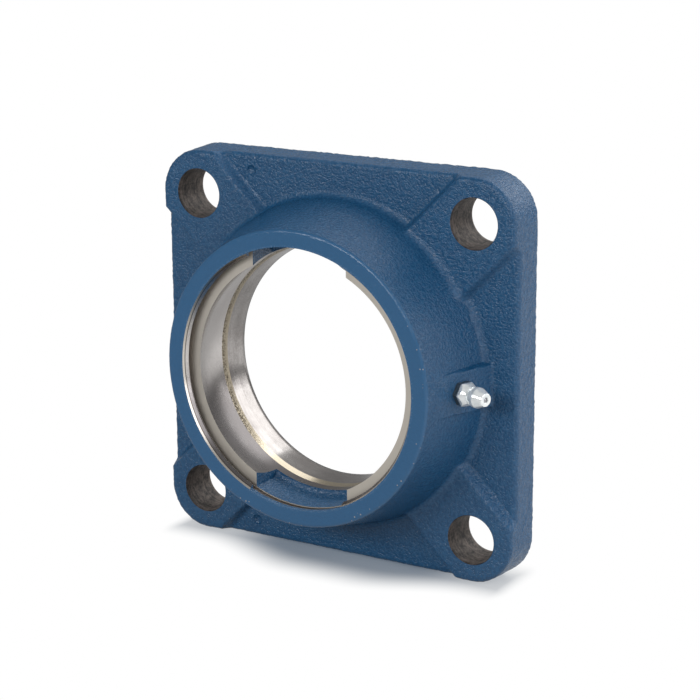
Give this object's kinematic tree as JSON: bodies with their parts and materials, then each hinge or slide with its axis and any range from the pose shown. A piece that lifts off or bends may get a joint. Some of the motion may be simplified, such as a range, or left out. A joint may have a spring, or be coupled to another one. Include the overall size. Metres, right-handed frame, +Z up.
{
  "type": "four-bolt flanged bearing housing",
  "caption": "Square-flanged cast bearing housing with a spherical insert seat, loading slots, an end-cover groove, bolt holes and a side grease nipple.",
  "frame": {"origin": "centre of the four bolt holes on the mounting face, on the bore axis", "axes": "+Y is the bore axis and the outward normal of the mounting face, so the hub points to -Y; +Z is up as the housing stands with its nipple at 3 o'clock; +X points to the side that carries the nipple"},
  "size_m": [0.131, 0.0373, 0.131],
  "materials": {
    "blue_painted_casting": "satin blue paint on rough sand-cast grey iron, with a bare machined bore and bare hole walls",
    "zinc_plated_steel": "bright zinc plate on turned steel",
    "polished_ball_steel": "polished",
    "spring_wire": "drawn wire"
  },
  "bodies": {
    "housing_body": {"housing": "blue_painted_casting", "grease_nipple_body": "zinc_plated_steel", "grease_nipple_spring": "spring_wire"},
    "check_ball": {"grease_nipple_check_ball": "polished_ball_steel"}
  },
  "joints": [
    {"name": "check_ball_slide", "type": "slide", "parent": "housing_body", "child": "check_ball", "axis": [-0.9397, 0.342, 0], "range_m": [0, 0.001], "deforming": ["grease_nipple_spring"]}
  ]
}
